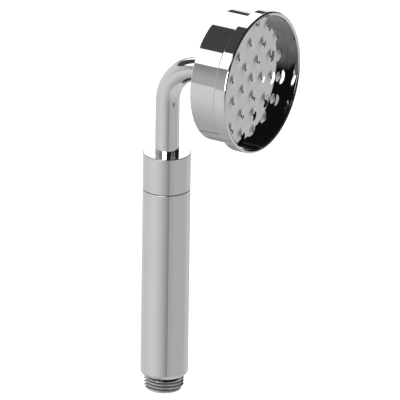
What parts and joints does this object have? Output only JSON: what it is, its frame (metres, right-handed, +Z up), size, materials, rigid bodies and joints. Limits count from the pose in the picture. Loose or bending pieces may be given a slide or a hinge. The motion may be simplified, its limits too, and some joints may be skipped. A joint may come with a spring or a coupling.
{
  "type": "handheld shower head",
  "caption": "Polished chrome handheld shower head: straight cylindrical handle with a collar, bent neck tube and a round head with a recessed face of domed jets.",
  "frame": {"origin": "centre of the hose inlet's end face, at the lower end of the handle", "axes": "+Z up the handle's axis toward the neck, +X the way the head faces and sprays"},
  "size_m": [0.0715, 0.0762, 0.2226],
  "materials": {
    "chrome": "polished chrome plate on brass",
    "brass": "turned",
    "steel": "bright",
    "rubber": "matte",
    "white_plastic": "moulded",
    "grey_plastic": "moulded"
  },
  "bodies": {
    "handle": {"handle_grip": "chrome", "handle_collar": "chrome", "collar_o_ring": "rubber", "hose_tail": "chrome", "tail_o_ring": "rubber", "tail_lock_nut": "brass", "inlet_filter": "steel", "flow_regulator_body": "white_plastic", "flow_regulator_ring": "rubber", "valve_housing": "grey_plastic", "valve_guide": "white_plastic", "water_tube": "white_plastic", "gland_nut": "brass", "thrust_washer": "white_plastic", "thrust_sleeve": "white_plastic"},
    "check_valve": {"valve_poppet": "white_plastic", "poppet_seal": "rubber", "valve_spring": "steel"},
    "neck_and_head": {"neck_tube": "chrome", "swivel_spigot": "brass", "swivel_o_ring_upper": "rubber", "swivel_o_ring_lower": "rubber", "rose_spigot": "brass", "rose_washer": "rubber", "rose_nut": "brass", "rose_body": "chrome", "spray_plate": "chrome", "face_ring": "chrome", "face_seal": "rubber", "water_spreader": "white_plastic"}
  },
  "joints": [
    {"name": "neck_swivel", "type": "hinge", "parent": "handle", "child": "neck_and_head", "pos_m": [0, 0, 0.122], "axis": [0, 0, 1], "continuous": true},
    {"name": "check_valve_lift", "type": "slide", "parent": "handle", "child": "check_valve", "axis": [0, 0, 1], "range_m": [0, 0.0025], "stiffness_N_per_m": 150, "springref_m": -0.002, "deforming": ["valve_spring"]}
  ]
}
